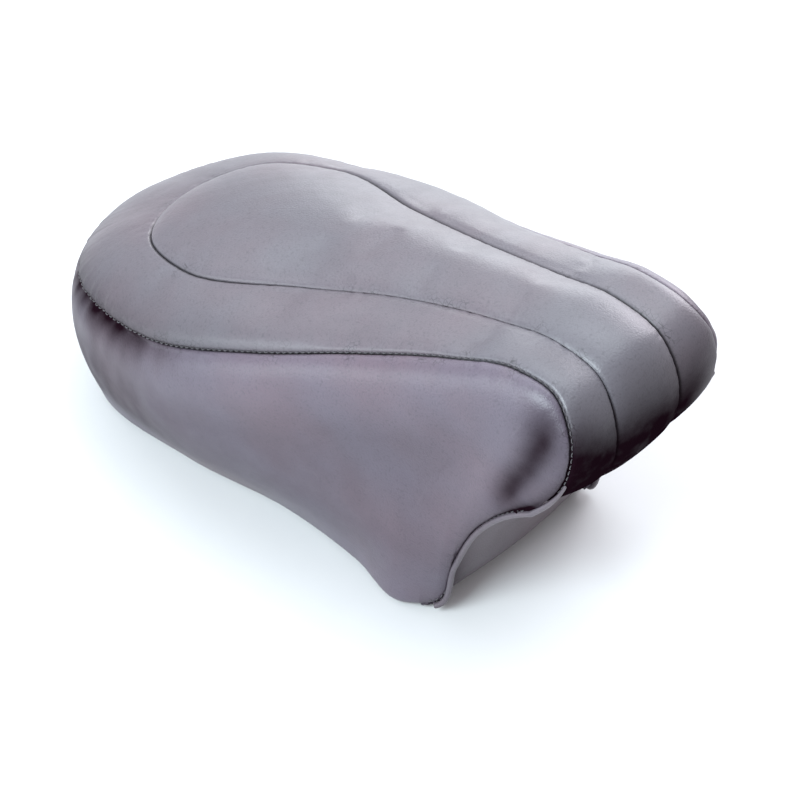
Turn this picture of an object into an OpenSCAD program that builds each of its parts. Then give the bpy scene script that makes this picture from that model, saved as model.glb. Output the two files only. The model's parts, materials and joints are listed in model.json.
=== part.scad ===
// Saddle-shaped upholstered seat cushion on a moulded base pan.
// +Y runs to the rear, -Y to the overhanging nose, +Z up. The origin is the middle of the
// footprint, on the surface that the four rubber bumpers stand on.

/* [Overall size] */
// Length from the nose to the rear wall
pad_length = 345; // [300:5:420]
// Width over the rear bulb
pad_width = 166; // [140:2:200]
// Height from the bumpers' feet to the top of the nose
pad_height = 171; // [150:1:200]

/* [Cover] */
// Thickness of the laminated vinyl cover
cover_t = 1.6; // [1.2:0.1:2.0]
// Open slot left at each seam for the seam allowance
seam_gap = 0.6; // [0.4:0.1:1.0]
// Width of the hem turned in under the pan
hem_turn = 13; // [10:1:16]
// Radius of the welt piping on the front edges
welt_r = 2.0; // [1.6:0.1:2.4]
// Radius of the filler cord inside the welt
cord_r = 1.1; // [0.8:0.1:1.3]
// Radius of the sewing thread
thread_r = 0.45; // [0.3:0.05:0.6]
// Distance of each topstitch row from the insert seam
stitch_offset = 2.6; // [2.0:0.1:3.5]

/* [Padding] */
// Thickness of the soft topper let into the foam under the insert
topper_t = 8; // [5:1:12]
// Clearance between neighbouring soft layers
soft_gap = 0.4; // [0.3:0.1:0.6]

/* [Base pan] */
// Height of the pan floor's underside above the bumpers' feet
floor_z = 9; // [8:0.5:11]
// Thickness of the pan floor
floor_t = 3; // [2.5:0.5:4]
// Width of the solid perimeter rail that the hem is stapled to
rail_w = 14; // [12:1:18]
// Height of the stiffening ribs above the foot line
rib_bottom = 5; // [4:0.5:7]
// Thickness of the stiffening ribs
rib_t = 3; // [2.5:0.5:4]

/* [Fixings] */
// Spacing of the threaded inserts across the pad
insert_dx = 44; // [40:2:50]
// Spacing of the threaded inserts along the pad
insert_dy = 130; // [120:5:140]
// Threaded bore radius of the inserts (M6)
insert_bore_r = 3; // [3:0.5:4]
// Outer radius of the inserts
insert_r = 5; // [4.5:0.5:6]
// Radius of the bosses around the inserts
boss_r = 9; // [8:0.5:10]
// Radius of the rubber bumpers
bumper_r = 9; // [7:0.5:9.5]
// Spacing of the bumpers across the pad
bumper_dx = 60; // [54:2:62]
// Spacing of the bumpers along the pad
bumper_dy = 170; // [160:2:176]
// Number of staples on each side of the hem
staples_side = 12; // [8:1:16]

/* [Hidden] */
$fn = 48;
sx = pad_width / 166;
sy = pad_length / 345;
sz = pad_height / 171;

// Each rail runs from the nose's underside, over the nose and back to the rear centre.
// A station is [half width, y, z]; the wall and hem rails share the front edge at first.
spine_st = [[0, -174, 102], [0, -184, 118], [0, -185, 144], [0, -173, 166], [0, -148, 171],
            [0, -112, 166], [0, -60, 154], [0, -10, 140], [0, 50, 123], [0, 92, 108], [0, 106, 100]];
insert_st = [[21, -173, 103], [21, -183, 118], [21, -184, 142], [20, -173, 161], [20, -148, 167],
             [21, -116, 161], [27, -62, 147], [38, -12, 131], [52, 52, 113], [37, 92, 104], [0, 106, 100]];
shoulder_st = [[51, -170, 107], [50.5, -180.5, 125.5], [47.3, -179.7, 150.5], [43.2, -167.7, 162.8],
               [43.2, -144.7, 164.8], [47.7, -111.7, 154.2], [59.2, -61.2, 134], [73, -14, 115], [81, 50, 91],
               [61, 119, 79], [0, 149, 72]];
wall_st = [[52, -168, 103], [54, -165, 105], [56, -158, 110], [57, -145, 110], [57, -130, 104],
           [59, -106, 90], [66, -62, 72], [76, -14, 62], [83, 52, 54], [62, 124, 50], [0, 160, 48]];
hem_st = [[52, -165, 100], [53, -152, 91], [53.5, -134, 70], [53.5, -119.5, 37], [55, -109.5, 5.5],
          [63, -96, 2], [57, -62, 2], [54, -14, 2], [61, 45, 2], [57, 112, 2], [0, 150, 2]];
last_t = len(hem_st) - 1;   // station number of the rear centre
tip_t = 4.5;                // station number of the skirt's foot
facing_bulge = 6;           // how far the front facing bows forward at its middle
facing_inset = 3;           // how far the facing sits behind the front edges
edge_x = 0.2;               // half gap between left and right pieces at the rear centre
turn_front = 1.5;           // seam allowance turned in along the front edge

pan_top = floor_z + floor_t;
rail_bottom = 4;            // underside of the perimeter rail, just above the turned-in hem
pan_inset = cover_t + soft_gap + 0.2;   // pan's outline inside the cover's outer outline
shift_y = 12.4;             // moves the stations so that the pad's length is centred on the origin
fix_y = 21 + shift_y;       // middle of the fixing pattern along the pad
bumper_h = 6;               // height of a rubber bumper
screw_r = 2;                // shank radius of the bumper screws
drain_r = 5;                // radius of the drain holes in the pan floor
foot_z = 2;                 // underside of the hem

// ---- splines and surfaces ------------------------------------------------------------------

function unit(v) = norm(v) > 0 ? v / norm(v) : v;
function sized(st) = [for (p = st) [p[0] * sx, p[1] * sy + shift_y, p[2] * sz]];
function span(p, i) = max(norm(p[i + 1] - p[i]), 0.001);

// Slope at an inner point, weighted by the two spans beside it
function mid_slope(p, i) =
    let (a = span(p, i - 1), b = span(p, i))
    ((p[i] - p[i - 1]) / a * b + (p[i + 1] - p[i]) / b * a) / (a + b);
function slopes(p) = let (n = len(p) - 1) [for (i = [0:n])
    i == 0 ? 1.5 * (p[1] - p[0]) / span(p, 0) - 0.5 * mid_slope(p, 1) :
    i == n ? 1.5 * (p[n] - p[n - 1]) / span(p, n - 1) - 0.5 * mid_slope(p, n - 1) : mid_slope(p, i)];
function hermite(p, m, t) =
    let (i = min(floor(t), len(p) - 2), f = t - i, h = span(p, i))
    (2 * pow(f, 3) - 3 * f * f + 1) * p[i] + (pow(f, 3) - 2 * f * f + f) * h * m[i]
    + (3 * f * f - 2 * pow(f, 3)) * p[i + 1] + (pow(f, 3) - f * f) * h * m[i + 1];

// A rail crosses the mirror plane at right angles at the rear centre
function rail(st) = let (p = sized(st), m = slopes(p), n = len(p) - 1)
    [p, [for (i = [0:n]) i == n ? [-1, 0, 0] : m[i]]];
spine = let (p = sized(spine_st)) [p, slopes(p)];
insert_rail = rail(insert_st);
shoulder = rail(shoulder_st);
wall = rail(wall_st);
hem = rail(hem_st);
function on(r, t) = hermite(r[0], r[1], t);

// Right half of the cross line at station t: centre, insert seam, shoulder, wall, hem
function section(t) = [on(spine, t), on(insert_rail, t), on(shoulder, t), on(wall, t), on(hem, t)];
function cross_line(t, vs) = let (s = section(t), m = slopes(s)) [for (v = vs) hermite(s, m, v)];

// The insert's row at station t is a parabola between its two seam points, u from -1 to 1
function insert_row(t, us) = let (c = on(spine, t), e = on(insert_rail, t)) [for (u = us)
    [e[0] * u, e[1] + (c[1] - e[1]) * (1 - u * u), e[2] + (c[2] - e[2]) * (1 - u * u)]];

// The facing's row hangs between the two front edges and bows forward, and its bow
// dies away under the pan
function bow(t) = facing_bulge * max(0.06, 1 - 0.65 * min(t, tip_t) / tip_t - 0.25 * max(0, t - tip_t));
function facing_row(t, us, inset) = let (e = on(hem, t), f = min(t / tip_t, 1)) [for (u = us)
    [(e[0] - inset) * u, e[1] + inset - bow(t) * (1 - u * u),
     max(foot_z, e[2] - 4 * (1 - u * u) * (1 - f))]];

function mirrored(row) = [for (p = row) [-p[0], p[1], p[2]]];
function steps(a, b, n) = [for (i = [0:n]) a + (b - a) * i / n];

// Normals of a grid of points, by differences between neighbours
function grid_normal(g, i, j) =
    let (n = len(g) - 1, m = len(g[0]) - 1)
    unit(cross(g[min(i + 1, n)][j] - g[max(i - 1, 0)][j], g[i][min(j + 1, m)] - g[i][max(j - 1, 0)]));
function shifted(g, d) = [for (i = [0:len(g) - 1]) [for (j = [0:len(g[0]) - 1])
    g[i][j] + d * grid_normal(g, i, j)]];

// Closed sheet between a grid and the same grid moved d along its normals
module sheet(g, d) {
    n = len(g);
    m = len(g[0]);
    k = n * m;
    pts = concat([for (r = g) each r], [for (r = shifted(g, d)) each r]);
    quads = concat(
        [for (i = [0:n - 2], j = [0:m - 2]) [i * m + j, (i + 1) * m + j, (i + 1) * m + j + 1, i * m + j + 1]],
        [for (i = [0:n - 2], j = [0:m - 2])
            [k + i * m + j, k + i * m + j + 1, k + (i + 1) * m + j + 1, k + (i + 1) * m + j]],
        [for (i = [0:n - 2]) [i * m, k + i * m, k + (i + 1) * m, (i + 1) * m]],
        [for (i = [0:n - 2]) [i * m + m - 1, (i + 1) * m + m - 1, k + (i + 1) * m + m - 1, k + i * m + m - 1]],
        [for (j = [0:m - 2]) [j, j + 1, k + j + 1, k + j]],
        [for (j = [0:m - 2])
            [(n - 1) * m + j, k + (n - 1) * m + j, k + (n - 1) * m + j + 1, (n - 1) * m + j + 1]]);
    polyhedron(pts, [for (q = quads) each d > 0 ? [[q[0], q[1], q[2]], [q[0], q[2], q[3]]]
        : [[q[2], q[1], q[0]], [q[3], q[2], q[0]]]]);
}

// Closed solid through rings of points; each ring's first half mirrors its second half
module loft(rings) {
    n = len(rings);
    m = len(rings[0]);
    sides = [for (i = [0:n - 2], j = [0:m - 1]) let (k = (j + 1) % m)
        [i * m + j, (i + 1) * m + j, (i + 1) * m + k, i * m + k]];
    caps = concat(
        [for (j = [0:m / 2 - 2]) [j, j + 1, m - 2 - j, m - 1 - j]],
        [for (j = [0:m / 2 - 2]) let (o = (n - 1) * m) [o + j, o + m - 1 - j, o + m - 2 - j, o + j + 1]]);
    polyhedron([for (r = rings) each r],
        [for (q = concat(sides, caps)) each [[q[0], q[1], q[2]], [q[0], q[2], q[3]]]]);
}

// Rings of radius r round the points of a path
function tube_rings(path, r, sides) = let (n = len(path)) [for (i = [0:n - 1])
    let (d = unit(path[min(i + 1, n - 1)] - path[max(i - 1, 0)]),
         a = unit(cross(d, abs(d[2]) < 0.9 ? [0, 0, 1] : [0, 1, 0])), b = cross(d, a))
    [for (k = [0:sides - 1]) path[i] + r * (cos(360 * k / sides) * a + sin(360 * k / sides) * b)]];
function ring_faces(n, sides, o = 0) = [for (i = [0:n - 2], k = [0:sides - 1]) let (l = (k + 1) % sides)
    each [[o + i * sides + k, o + (i + 1) * sides + l, o + (i + 1) * sides + k],
          [o + i * sides + k, o + i * sides + l, o + (i + 1) * sides + l]]];

// Solid tube of radius r along a path
module tube(path, r, sides = 8) {
    n = len(path);
    polyhedron([for (q = tube_rings(path, r, sides)) each q], concat(ring_faces(n, sides),
        [[for (k = [sides - 1:-1:0]) k], [for (k = [0:sides - 1]) (n - 1) * sides + k]]));
}

// Hollow tube along a path, with flat annular ends
module pipe(path, r, bore, sides = 8) {
    n = len(path);
    o = n * sides;
    e = (n - 1) * sides;
    polyhedron([for (q = concat(tube_rings(path, r, sides), tube_rings(path, bore, sides))) each q], concat(
        ring_faces(n, sides), [for (f = ring_faces(n, sides, o)) [f[2], f[1], f[0]]],
        [for (k = [0:sides - 1]) let (l = (k + 1) % sides) each [[k, o + k, l], [l, o + k, o + l]]],
        [for (k = [0:sides - 1]) let (l = (k + 1) % sides)
            each [[e + k, e + l, o + e + k], [e + l, o + e + l, o + e + k]]]));
}

// Inward direction across the footprint at station t of the hem, on the right side
function hem_inward(t) = let (d = on(hem, min(t + 0.05, last_t)) - on(hem, t - 0.05))
    t > last_t - 0.02 ? [0, -1, 0] : unit([-d[1], d[0], 0]);

// Closed footprint outline, inset from the hem: right side, left side, then the bowed front
function footprint() = let (right = [for (t = steps(tip_t + 0.15, last_t - 0.15, 14)) on(hem, t)],
        front = facing_row(tip_t + 0.1, steps(-0.85, 0.85, 8), facing_inset))
    [for (p = concat(right, [for (i = [len(right) - 1:-1:0]) mirrored(right)[i]], front)) [p[0], p[1]]];
function inset(poly, d) = let (n = len(poly)) [for (i = [0:n - 1])
    let (e = poly[(i + 1) % n] - poly[(i + n - 1) % n]) poly[i] + d * [-e[1], e[0]] / norm(e)];

// The outline drawn in towards the middle of the footprint by about d on every side
function drawn_in(poly, d) = [for (p = poly) [p[0] * (1 - d / (57 * sx)), fix_y + (p[1] - fix_y) * (1 - d / (128 * sy))]];

module at_corners(dx, dy) {
    for (x = [-dx / 2, dx / 2], y = [fix_y - dy / 2, fix_y + dy / 2]) translate([x, y, 0]) children();
}

// ---- cover ---------------------------------------------------------------------------------

function seam_share(t, rail_a, rail_b) = seam_gap / 2 / max(norm(on(rail_a, t) - on(rail_b, t)), 8);

module insert_panel() {
    g = [for (t = steps(0.1, last_t - 0.12, 36))
        let (k = 1 - seam_gap / 2 / max(on(insert_rail, t)[0], 2)) insert_row(t, steps(-k, k, 8))];
    color([0.62, 0.62, 0.65]) sheet(g, cover_t);
}

module top_band() {
    function row(t) = let (k = seam_share(t, insert_rail, shoulder)) cross_line(t, steps(1 + k, 2 - k, 6));
    ts = steps(0.1, last_t - 0.15, 28);
    rows = concat([for (t = ts) mirrored(row(t))], [row(last_t)],
                  [for (i = [len(ts) - 1:-1:0]) row(ts[i])]);
    color([0.64, 0.62, 0.67]) sheet(rows, -cover_t);
}

// One side panel runs from the shoulder seam down the wall and turns in under the pan
module side_panel() {
    function turn(t) = t < tip_t ? turn_front : turn_front + (hem_turn - turn_front) * min(1, t - tip_t);
    rows = [for (t = steps(0, last_t, 32)) let (h = on(hem, t), k = seam_share(t, shoulder, wall),
            d = (t < tip_t ? [-1, 0, 0] : hem_inward(t)) * turn(t))
        [for (p = concat(cross_line(t, steps(2 + k, 4, 10)), [h + d / 2, h + d])) [max(p[0], edge_x), p[1], p[2]]]];
    color([0.46, 0.43, 0.49]) sheet(rows, cover_t);
}
module side_panel_left() mirror([1, 0, 0]) side_panel();
module side_panel_right() side_panel();

module front_facing() {
    foot = facing_row(tip_t, steps(-0.97, 0.97, 10), facing_inset);
    g = concat([for (t = steps(0.1, tip_t - 0.1, 14)) facing_row(t, steps(-0.97, 0.97, 10), facing_inset)],
        [foot], [for (k = [0.5, 1]) [for (p = foot) p + [0, hem_turn * k, 0]]]);
    color([0.40, 0.37, 0.40]) sheet(g, -cover_t);
}

// ---- welts and thread ----------------------------------------------------------------------

function tangent(r, t) = unit(on(r, min(t + 0.05, last_t)) - on(r, max(t - 0.05, 0)));
function toward(r, t, target) = unit(target - on(r, t));

// Path beside rail r: off across the surface towards a target point, lift above it
function beside(r, t, target, off, lift) =
    let (d = toward(r, t, target), n = unit(cross(tangent(r, t), d)))
    on(r, t) + off * d + lift * n;
function both_sides(right) = concat(mirrored(right), [for (i = [len(right) - 1:-1:0]) right[i]]);

// Centre line of the welt, just in front of the front edge and square to it
function welt_path() = [for (t = steps(0.15, 4, 16))
    let (d = tangent(hem, t), f = unit([0, d[2], -d[1]]))
    on(hem, t) + (welt_r + 0.3) * f + [0, 0, t > 3.7 ? 2 * (t - 3.7) : 0]];

module front_welt() color([0.35, 0.33, 0.36]) pipe(welt_path(), welt_r, cord_r + 0.15);
module front_welt_left() mirror([1, 0, 0]) front_welt();
module front_welt_right() front_welt();
module welt_cord() color([0.85, 0.84, 0.80]) tube(welt_path(), cord_r);
module welt_cord_left() mirror([1, 0, 0]) welt_cord();
module welt_cord_right() welt_cord();

// Twin rows of topstitching, one on each side of the insert seam
module insert_topstitch() {
    inner = [for (t = steps(0.3, last_t, 34))
        beside(insert_rail, t, on(spine, min(t, 8)), stitch_offset, thread_r + 0.7)];
    outer = [for (t = steps(0.3, last_t, 34)) let (n = unit(cross(tangent(insert_rail, t),
            toward(insert_rail, t, on(spine, min(t, 8))))))
        on(insert_rail, t) + stitch_offset * toward(insert_rail, t, on(shoulder, t)) + (thread_r + 1) * n];
    color([0.20, 0.19, 0.21]) for (path = [inner, outer]) tube(both_sides(path), thread_r, 6);
}

module outer_seam_thread() {
    path = [for (t = steps(0.3, last_t, 34))
        beside(shoulder, t, on(insert_rail, t), 0, thread_r + 0.4)];
    color([0.16, 0.15, 0.17]) tube(both_sides(path), thread_r, 6);
}

module rear_seam_thread() color([0.16, 0.15, 0.17])
    tube([for (p = cross_line(last_t, steps(2.1, 3.95, 10))) [0, p[1] + thread_r + 0.3, p[2]]], thread_r, 6);

module welt_seam_thread() color([0.16, 0.15, 0.17])
    for (m = [0, 1]) mirror([m, 0, 0]) tube([for (t = steps(0.4, tip_t - 0.2, 14))
        on(hem, t) + 3.4 * toward(hem, t, on(wall, t)) + [thread_r + 0.7, 0, 0]], thread_r, 6);

// ---- padding -------------------------------------------------------------------------------

module topper_pad() {
    g = [for (t = steps(3, 9.3, 24)) insert_row(t, steps(-0.86, 0.86, 8))];
    top = shifted(g, cover_t + soft_gap);
    color([0.55, 0.68, 0.75]) sheet(top, topper_t);
}

// The foam's rings follow the cover and stay the cover's thickness inside it, with a
// pocket for the topper; its floor lies on the pan
module foam_core() {
    us = [1, 0.93, 0.87, 0.55, 0.12];
    function half(t) = concat(facing_row(t, [0.12, 0.5, 0.8], facing_inset),
        cross_line(t, steps(4, 1.25, 11)),
        insert_row(t, us));
    ts = concat(steps(0.35, 4.5, 15), steps(4.75, 9.75, 20));
    rings = [for (t = ts) let (h = half(t)) concat(h, [for (i = [len(h) - 1:-1:0]) mirrored(h)[i]])];
    m = len(rings[0]);
    n = len(rings) - 1;
    function ring_normal(i, j) = unit(cross(
        rings[min(i + 1, n)][j] - rings[max(i - 1, 0)][j], rings[i][(j + 1) % m] - rings[i][(j + m - 1) % m]));
    function depth(t, j) = let (k = min(j, m - 1 - j) - (m / 2 - len(us)))
        cover_t + soft_gap + 0.2 + (k >= 2 && t > 2.8 && t < 9.5 ? topper_t + soft_gap : 0);
    color([0.87, 0.83, 0.68]) loft([for (i = [0:n]) [for (j = [0:m - 1])
        let (p = rings[i][j] - depth(ts[i], j) * ring_normal(i, j))
        [p[0], p[1], max(p[2], pan_top + soft_gap)]]]);
}

// ---- base pan and fixings ------------------------------------------------------------------

module base_pan() {
    outer = inset(footprint(), pan_inset);
    inner = drawn_in(outer, rail_w);
    color([0.13, 0.13, 0.14]) difference() {
        union() {
            translate([0, 0, floor_z]) linear_extrude(floor_t) polygon(outer);
            translate([0, 0, rail_bottom]) linear_extrude(floor_z - rail_bottom) difference() {
                polygon(outer);
                polygon(inner);
            }
            translate([0, 0, rib_bottom]) linear_extrude(floor_z - rib_bottom) intersection() {
                polygon(inner);
                union() {
                    for (x = [-14, 14]) translate([x - rib_t / 2, fix_y - 135]) square([rib_t, 270]);
                    for (y = [-36, 24, 99]) translate([-70, fix_y + y - rib_t / 2]) square([140, rib_t]);
                }
            }
            at_corners(insert_dx, insert_dy) translate([0, 0, rail_bottom])
                cylinder(h = floor_z - rail_bottom, r = boss_r);
            at_corners(bumper_dx, bumper_dy) translate([0, 0, bumper_h])
                cylinder(h = floor_z - bumper_h, r = bumper_r);
        }
        at_corners(insert_dx, insert_dy) cylinder(h = 3 * pan_top, r = insert_r + 0.05, center = true);
        at_corners(bumper_dx, bumper_dy) cylinder(h = 3 * pan_top, r = screw_r + 0.05, center = true);
        drain_places() cylinder(h = 3 * pan_top, r = drain_r, center = true);
    }
}

module threaded_inserts() color([0.78, 0.62, 0.30]) at_corners(insert_dx, insert_dy)
    translate([0, 0, rail_bottom]) difference() {
        cylinder(h = pan_top - rail_bottom, r = insert_r);
        translate([0, 0, -1]) cylinder(h = pan_top, r = insert_bore_r);
    }

// A bumper is a chamfered rubber foot with a counterbore for its screw
module bumpers() color([0.10, 0.10, 0.10]) at_corners(bumper_dx, bumper_dy)
    rotate_extrude() polygon([[screw_r + 0.2, 4.5], [5.6, 4.5], [5.6, 0], [bumper_r - 1.2, 0],
        [bumper_r, 1.2], [bumper_r, bumper_h - 0.1], [screw_r + 0.2, bumper_h - 0.1]]);

module bumper_washers() color([0.70, 0.70, 0.72]) at_corners(bumper_dx, bumper_dy)
    translate([0, 0, 3.6]) difference() {
        cylinder(h = 0.9, r = 5.2);
        translate([0, 0, -1]) cylinder(h = 3, r = screw_r + 0.15);
    }

module bumper_screws() color([0.60, 0.60, 0.62]) at_corners(bumper_dx, bumper_dy) difference() {
    union() {
        translate([0, 0, 3.5]) cylinder(h = pan_top - 3.5 - 0.3, r = screw_r);
        translate([0, 0, 1]) cylinder(h = 2.5, r = 3.8);
    }
    for (a = [0, 90]) rotate(a) translate([-2, -0.4, 0]) cube([4, 0.8, 2.2]);
}

module drain_places() for (y = [-50, 0, 50]) translate([0, fix_y + y, 0]) children();

module drain_grommets() color([0.12, 0.12, 0.12]) drain_places()
    rotate_extrude() polygon([[3, floor_z - 1.4], [7, floor_z - 1.4], [7, floor_z - 0.05],
        [drain_r - 0.05, floor_z - 0.05], [drain_r - 0.05, pan_top], [3, pan_top]]);

// Staple crowns lie on the turned-in hem, square to the edge of the pan
module staples() color([0.75, 0.75, 0.77]) for (m = [0, 1], t = steps(5.1, last_t - 0.4, staples_side - 1))
    let (d = hem_inward(t), p = on(hem, t) + 8 * d) mirror([m, 0, 0])
    translate([p[0], p[1], foot_z - 0.75]) rotate(atan2(d[1], d[0]) + 90)
    translate([-4.5, -0.6, 0]) cube([9, 1.2, 0.7]);

base_pan();
threaded_inserts();
bumpers();
bumper_washers();
bumper_screws();
drain_grommets();
foam_core();
topper_pad();
insert_panel();
top_band();
side_panel_left();
side_panel_right();
front_facing();
front_welt_left();
front_welt_right();
welt_cord_left();
welt_cord_right();
insert_topstitch();
outer_seam_thread();
rear_seam_thread();
welt_seam_thread();
staples();
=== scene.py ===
"""Saddle-shaped upholstered cushion: cover, seams, piping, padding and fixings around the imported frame.

The cover panels are numpy grid surfaces over five rails that run from the nose's underside, over
the nose and back to the rear centre. All sizes are in metres unless a name ends in _mm.
"""

import json
import logging
import math
from dataclasses import dataclass, field
from enum import Enum
from typing import Any, Sequence

import bmesh
import bpy
import numpy as np
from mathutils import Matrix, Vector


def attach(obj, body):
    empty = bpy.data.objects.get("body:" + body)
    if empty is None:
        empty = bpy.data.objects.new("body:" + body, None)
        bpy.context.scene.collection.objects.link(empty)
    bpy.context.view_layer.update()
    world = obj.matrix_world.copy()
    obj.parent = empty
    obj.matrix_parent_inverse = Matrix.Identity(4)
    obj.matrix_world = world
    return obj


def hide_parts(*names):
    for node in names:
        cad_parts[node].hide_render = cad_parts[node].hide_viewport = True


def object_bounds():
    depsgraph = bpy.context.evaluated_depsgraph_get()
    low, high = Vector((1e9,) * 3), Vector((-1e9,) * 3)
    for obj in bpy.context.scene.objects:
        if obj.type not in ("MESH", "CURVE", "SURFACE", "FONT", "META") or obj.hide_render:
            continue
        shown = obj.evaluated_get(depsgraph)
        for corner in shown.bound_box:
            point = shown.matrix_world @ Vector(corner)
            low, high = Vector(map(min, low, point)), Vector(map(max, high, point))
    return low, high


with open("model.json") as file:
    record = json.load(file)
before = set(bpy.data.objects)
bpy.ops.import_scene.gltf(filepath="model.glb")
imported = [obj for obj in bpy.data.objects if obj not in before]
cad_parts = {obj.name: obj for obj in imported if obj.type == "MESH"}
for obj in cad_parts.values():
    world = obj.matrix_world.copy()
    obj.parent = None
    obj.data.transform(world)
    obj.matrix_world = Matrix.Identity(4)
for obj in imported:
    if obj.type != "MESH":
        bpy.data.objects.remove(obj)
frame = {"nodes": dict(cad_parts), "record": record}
CAD_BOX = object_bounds()

LOG = logging.getLogger("cushion")
MM = 0.001
BODY = "root"

Array = np.ndarray
MIRROR = np.array([-1.0, 1.0, 1.0])
SIDES = {"left": MIRROR, "right": np.ones(3)}


# ---- small geometry helpers ----


def unit(v: Array) -> Array:
    """Vectors divided by their lengths along the last axis."""
    return v / np.maximum(np.linalg.norm(v, axis=-1, keepdims=True), 1e-12)


def smooth_step(x: Array, low: float, high: float) -> Array:
    """0 below low, 1 above high, and the cubic 3f^2 - 2f^3 between."""
    f = np.clip((x - low) / (high - low), 0.0, 1.0)
    return f * f * (3.0 - 2.0 * f)


def hump(x: Array, centre: float, width: float) -> Array:
    """The bell exp(-((x - centre) / width)^2)."""
    return np.exp(-(((x - centre) / width) ** 2))


def eased(count: int, share: float = 0.55) -> Array:
    """Samples from 0 to 1 that crowd towards both ends.

    Args:
        count: number of samples.
        share: how much of the cosine spacing is mixed with the even one.

    Returns:
        share * (1 - cos(pi x)) / 2 + (1 - share) * x for evenly spaced x.
    """
    x = np.linspace(0.0, 1.0, count)
    return share * 0.5 * (1.0 - np.cos(np.pi * x)) + (1.0 - share) * x


def lengths_along(grid: Array, axis: int) -> Array:
    """Distance walked from the first point along an axis of a grid of points."""
    step = np.linalg.norm(np.diff(grid, axis=axis), axis=-1)
    start = np.zeros_like(np.take(step, [0], axis=axis))
    return np.concatenate([start, np.cumsum(step, axis=axis)], axis=axis)


def grid_normals(grid: Array, outward: float) -> Array:
    """Unit cross product of the two grid directions, times the given sign."""
    along = np.gradient(grid, axis=0)
    across = np.gradient(grid, axis=1)
    return unit(np.cross(along, across)) * outward


def nearest(points: Array, path: Array, chunk: int = 4000) -> tuple[Array, Array]:
    """Nearest point of a path for every point, by whole-array squared distances.

    Args:
        points: (..., 3) points.
        path: (n, 3) closely spaced points of the path.
        chunk: points handled at once.

    Returns:
        (distance, number of the nearest path point), both shaped like points without its last axis.
    """
    flat = points.reshape(-1, 3)
    square = (path**2).sum(axis=1)
    found = np.empty(len(flat), int)
    for start in range(0, len(flat), chunk):
        part = flat[start : start + chunk]
        found[start : start + chunk] = np.argmin(square - 2.0 * part @ path.T, axis=1)
    gap = np.linalg.norm(flat - path[found], axis=1)
    return gap.reshape(points.shape[:-1]), found.reshape(points.shape[:-1])


def upsampled(values: Array, factor: int, axis: int) -> Array:
    """Catmull-Rom interpolation that puts factor - 1 new samples between neighbours of an axis."""
    values = np.moveaxis(values, axis, 0)
    n = len(values)
    at = np.arange((n - 1) * factor + 1) / factor
    i = np.minimum(at.astype(int), n - 2)
    f = (at - i).reshape((-1,) + (1,) * (values.ndim - 1))
    p0, p1 = values[np.maximum(i - 1, 0)], values[i]
    p2, p3 = values[i + 1], values[np.minimum(i + 2, n - 1)]
    out = 0.5 * (2 * p1 + (p2 - p0) * f + (2 * p0 - 5 * p1 + 4 * p2 - p3) * f**2
                 + (3 * p1 - p0 - 3 * p2 + p3) * f**3)
    return np.moveaxis(out, 0, axis)


def sampled(where: Array, walked: Array, values: Array) -> Array:
    """Vectors along a path, interpolated at the walked distances asked for."""
    return np.stack([np.interp(where, walked, values[:, k]) for k in range(3)], axis=1)


def even_path(path: Array, spacing: float) -> Array:
    """The path sampled again at even steps of about the spacing."""
    walked = lengths_along(path, 0)
    steps = np.linspace(0.0, walked[-1], max(2, int(round(walked[-1] / spacing)) + 1))
    return sampled(steps, walked, path)


class Wander:
    """Smooth, seeded, irregular variation: a sum of sines with random pitch and phase."""

    def __init__(self, seed: int, pitch: float, terms: int = 7) -> None:
        """Draws the sines.

        Args:
            seed: random seed.
            pitch: mean wavelength, in metres.
            terms: number of sines.
        """
        rng = np.random.default_rng(seed)
        self.rate = 2.0 * np.pi / (pitch * rng.uniform(0.6, 1.8, terms))
        self.slant = rng.uniform(-0.45, 0.45, terms)
        self.phase = rng.uniform(0.0, 2.0 * np.pi, terms)
        self.weight = rng.uniform(0.5, 1.0, terms)
        self.weight /= self.weight.sum()

    def __call__(self, x: Array, y: Array | float = 0.0) -> Array:
        """Sum of weight * sin(rate * (x + slant * y) + phase)."""
        total = np.zeros(np.broadcast(x, y).shape)
        for rate, slant, phase, weight in zip(self.rate, self.slant, self.phase, self.weight):
            total = total + weight * np.sin(rate * (x + slant * y) + phase)
        return total


# ---- the pad's form ----


class Rail:
    """A smooth curve through stations, as cubic Hermite spans with distance-weighted slopes."""

    def __init__(self, stations: Array, square_end: bool) -> None:
        """Works out the slopes.

        Args:
            stations: (n, 3) points, in metres.
            square_end: True where the curve crosses the mirror plane at right angles at its end.
        """
        self.points = stations
        self.gaps = np.maximum(np.linalg.norm(np.diff(stations, axis=0), axis=1), 1e-6)
        self.slopes = weighted_slopes(stations[None], self.gaps[None])[0]
        if square_end:
            self.slopes[-1] = (-1.0, 0.0, 0.0)

    def at(self, t: Array) -> Array:
        """Points at station numbers t; whole numbers are the stations themselves."""
        t = np.clip(np.asarray(t, float), 0.0, len(self.points) - 1)
        i = np.minimum(t.astype(int), len(self.points) - 2)
        f = (t - i)[..., None]
        return hermite(
            self.points[i], self.points[i + 1], self.slopes[i], self.slopes[i + 1], self.gaps[i][..., None], f
        )


def hermite(p0: Array, p1: Array, m0: Array, m1: Array, gap: Array, f: Array) -> Array:
    """Cubic Hermite blend of two points and two slopes over a span of length gap."""
    return (
        (2 * f**3 - 3 * f**2 + 1) * p0
        + (f**3 - 2 * f**2 + f) * gap * m0
        + (3 * f**2 - 2 * f**3) * p1
        + (f**3 - f**2) * gap * m1
    )


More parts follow.
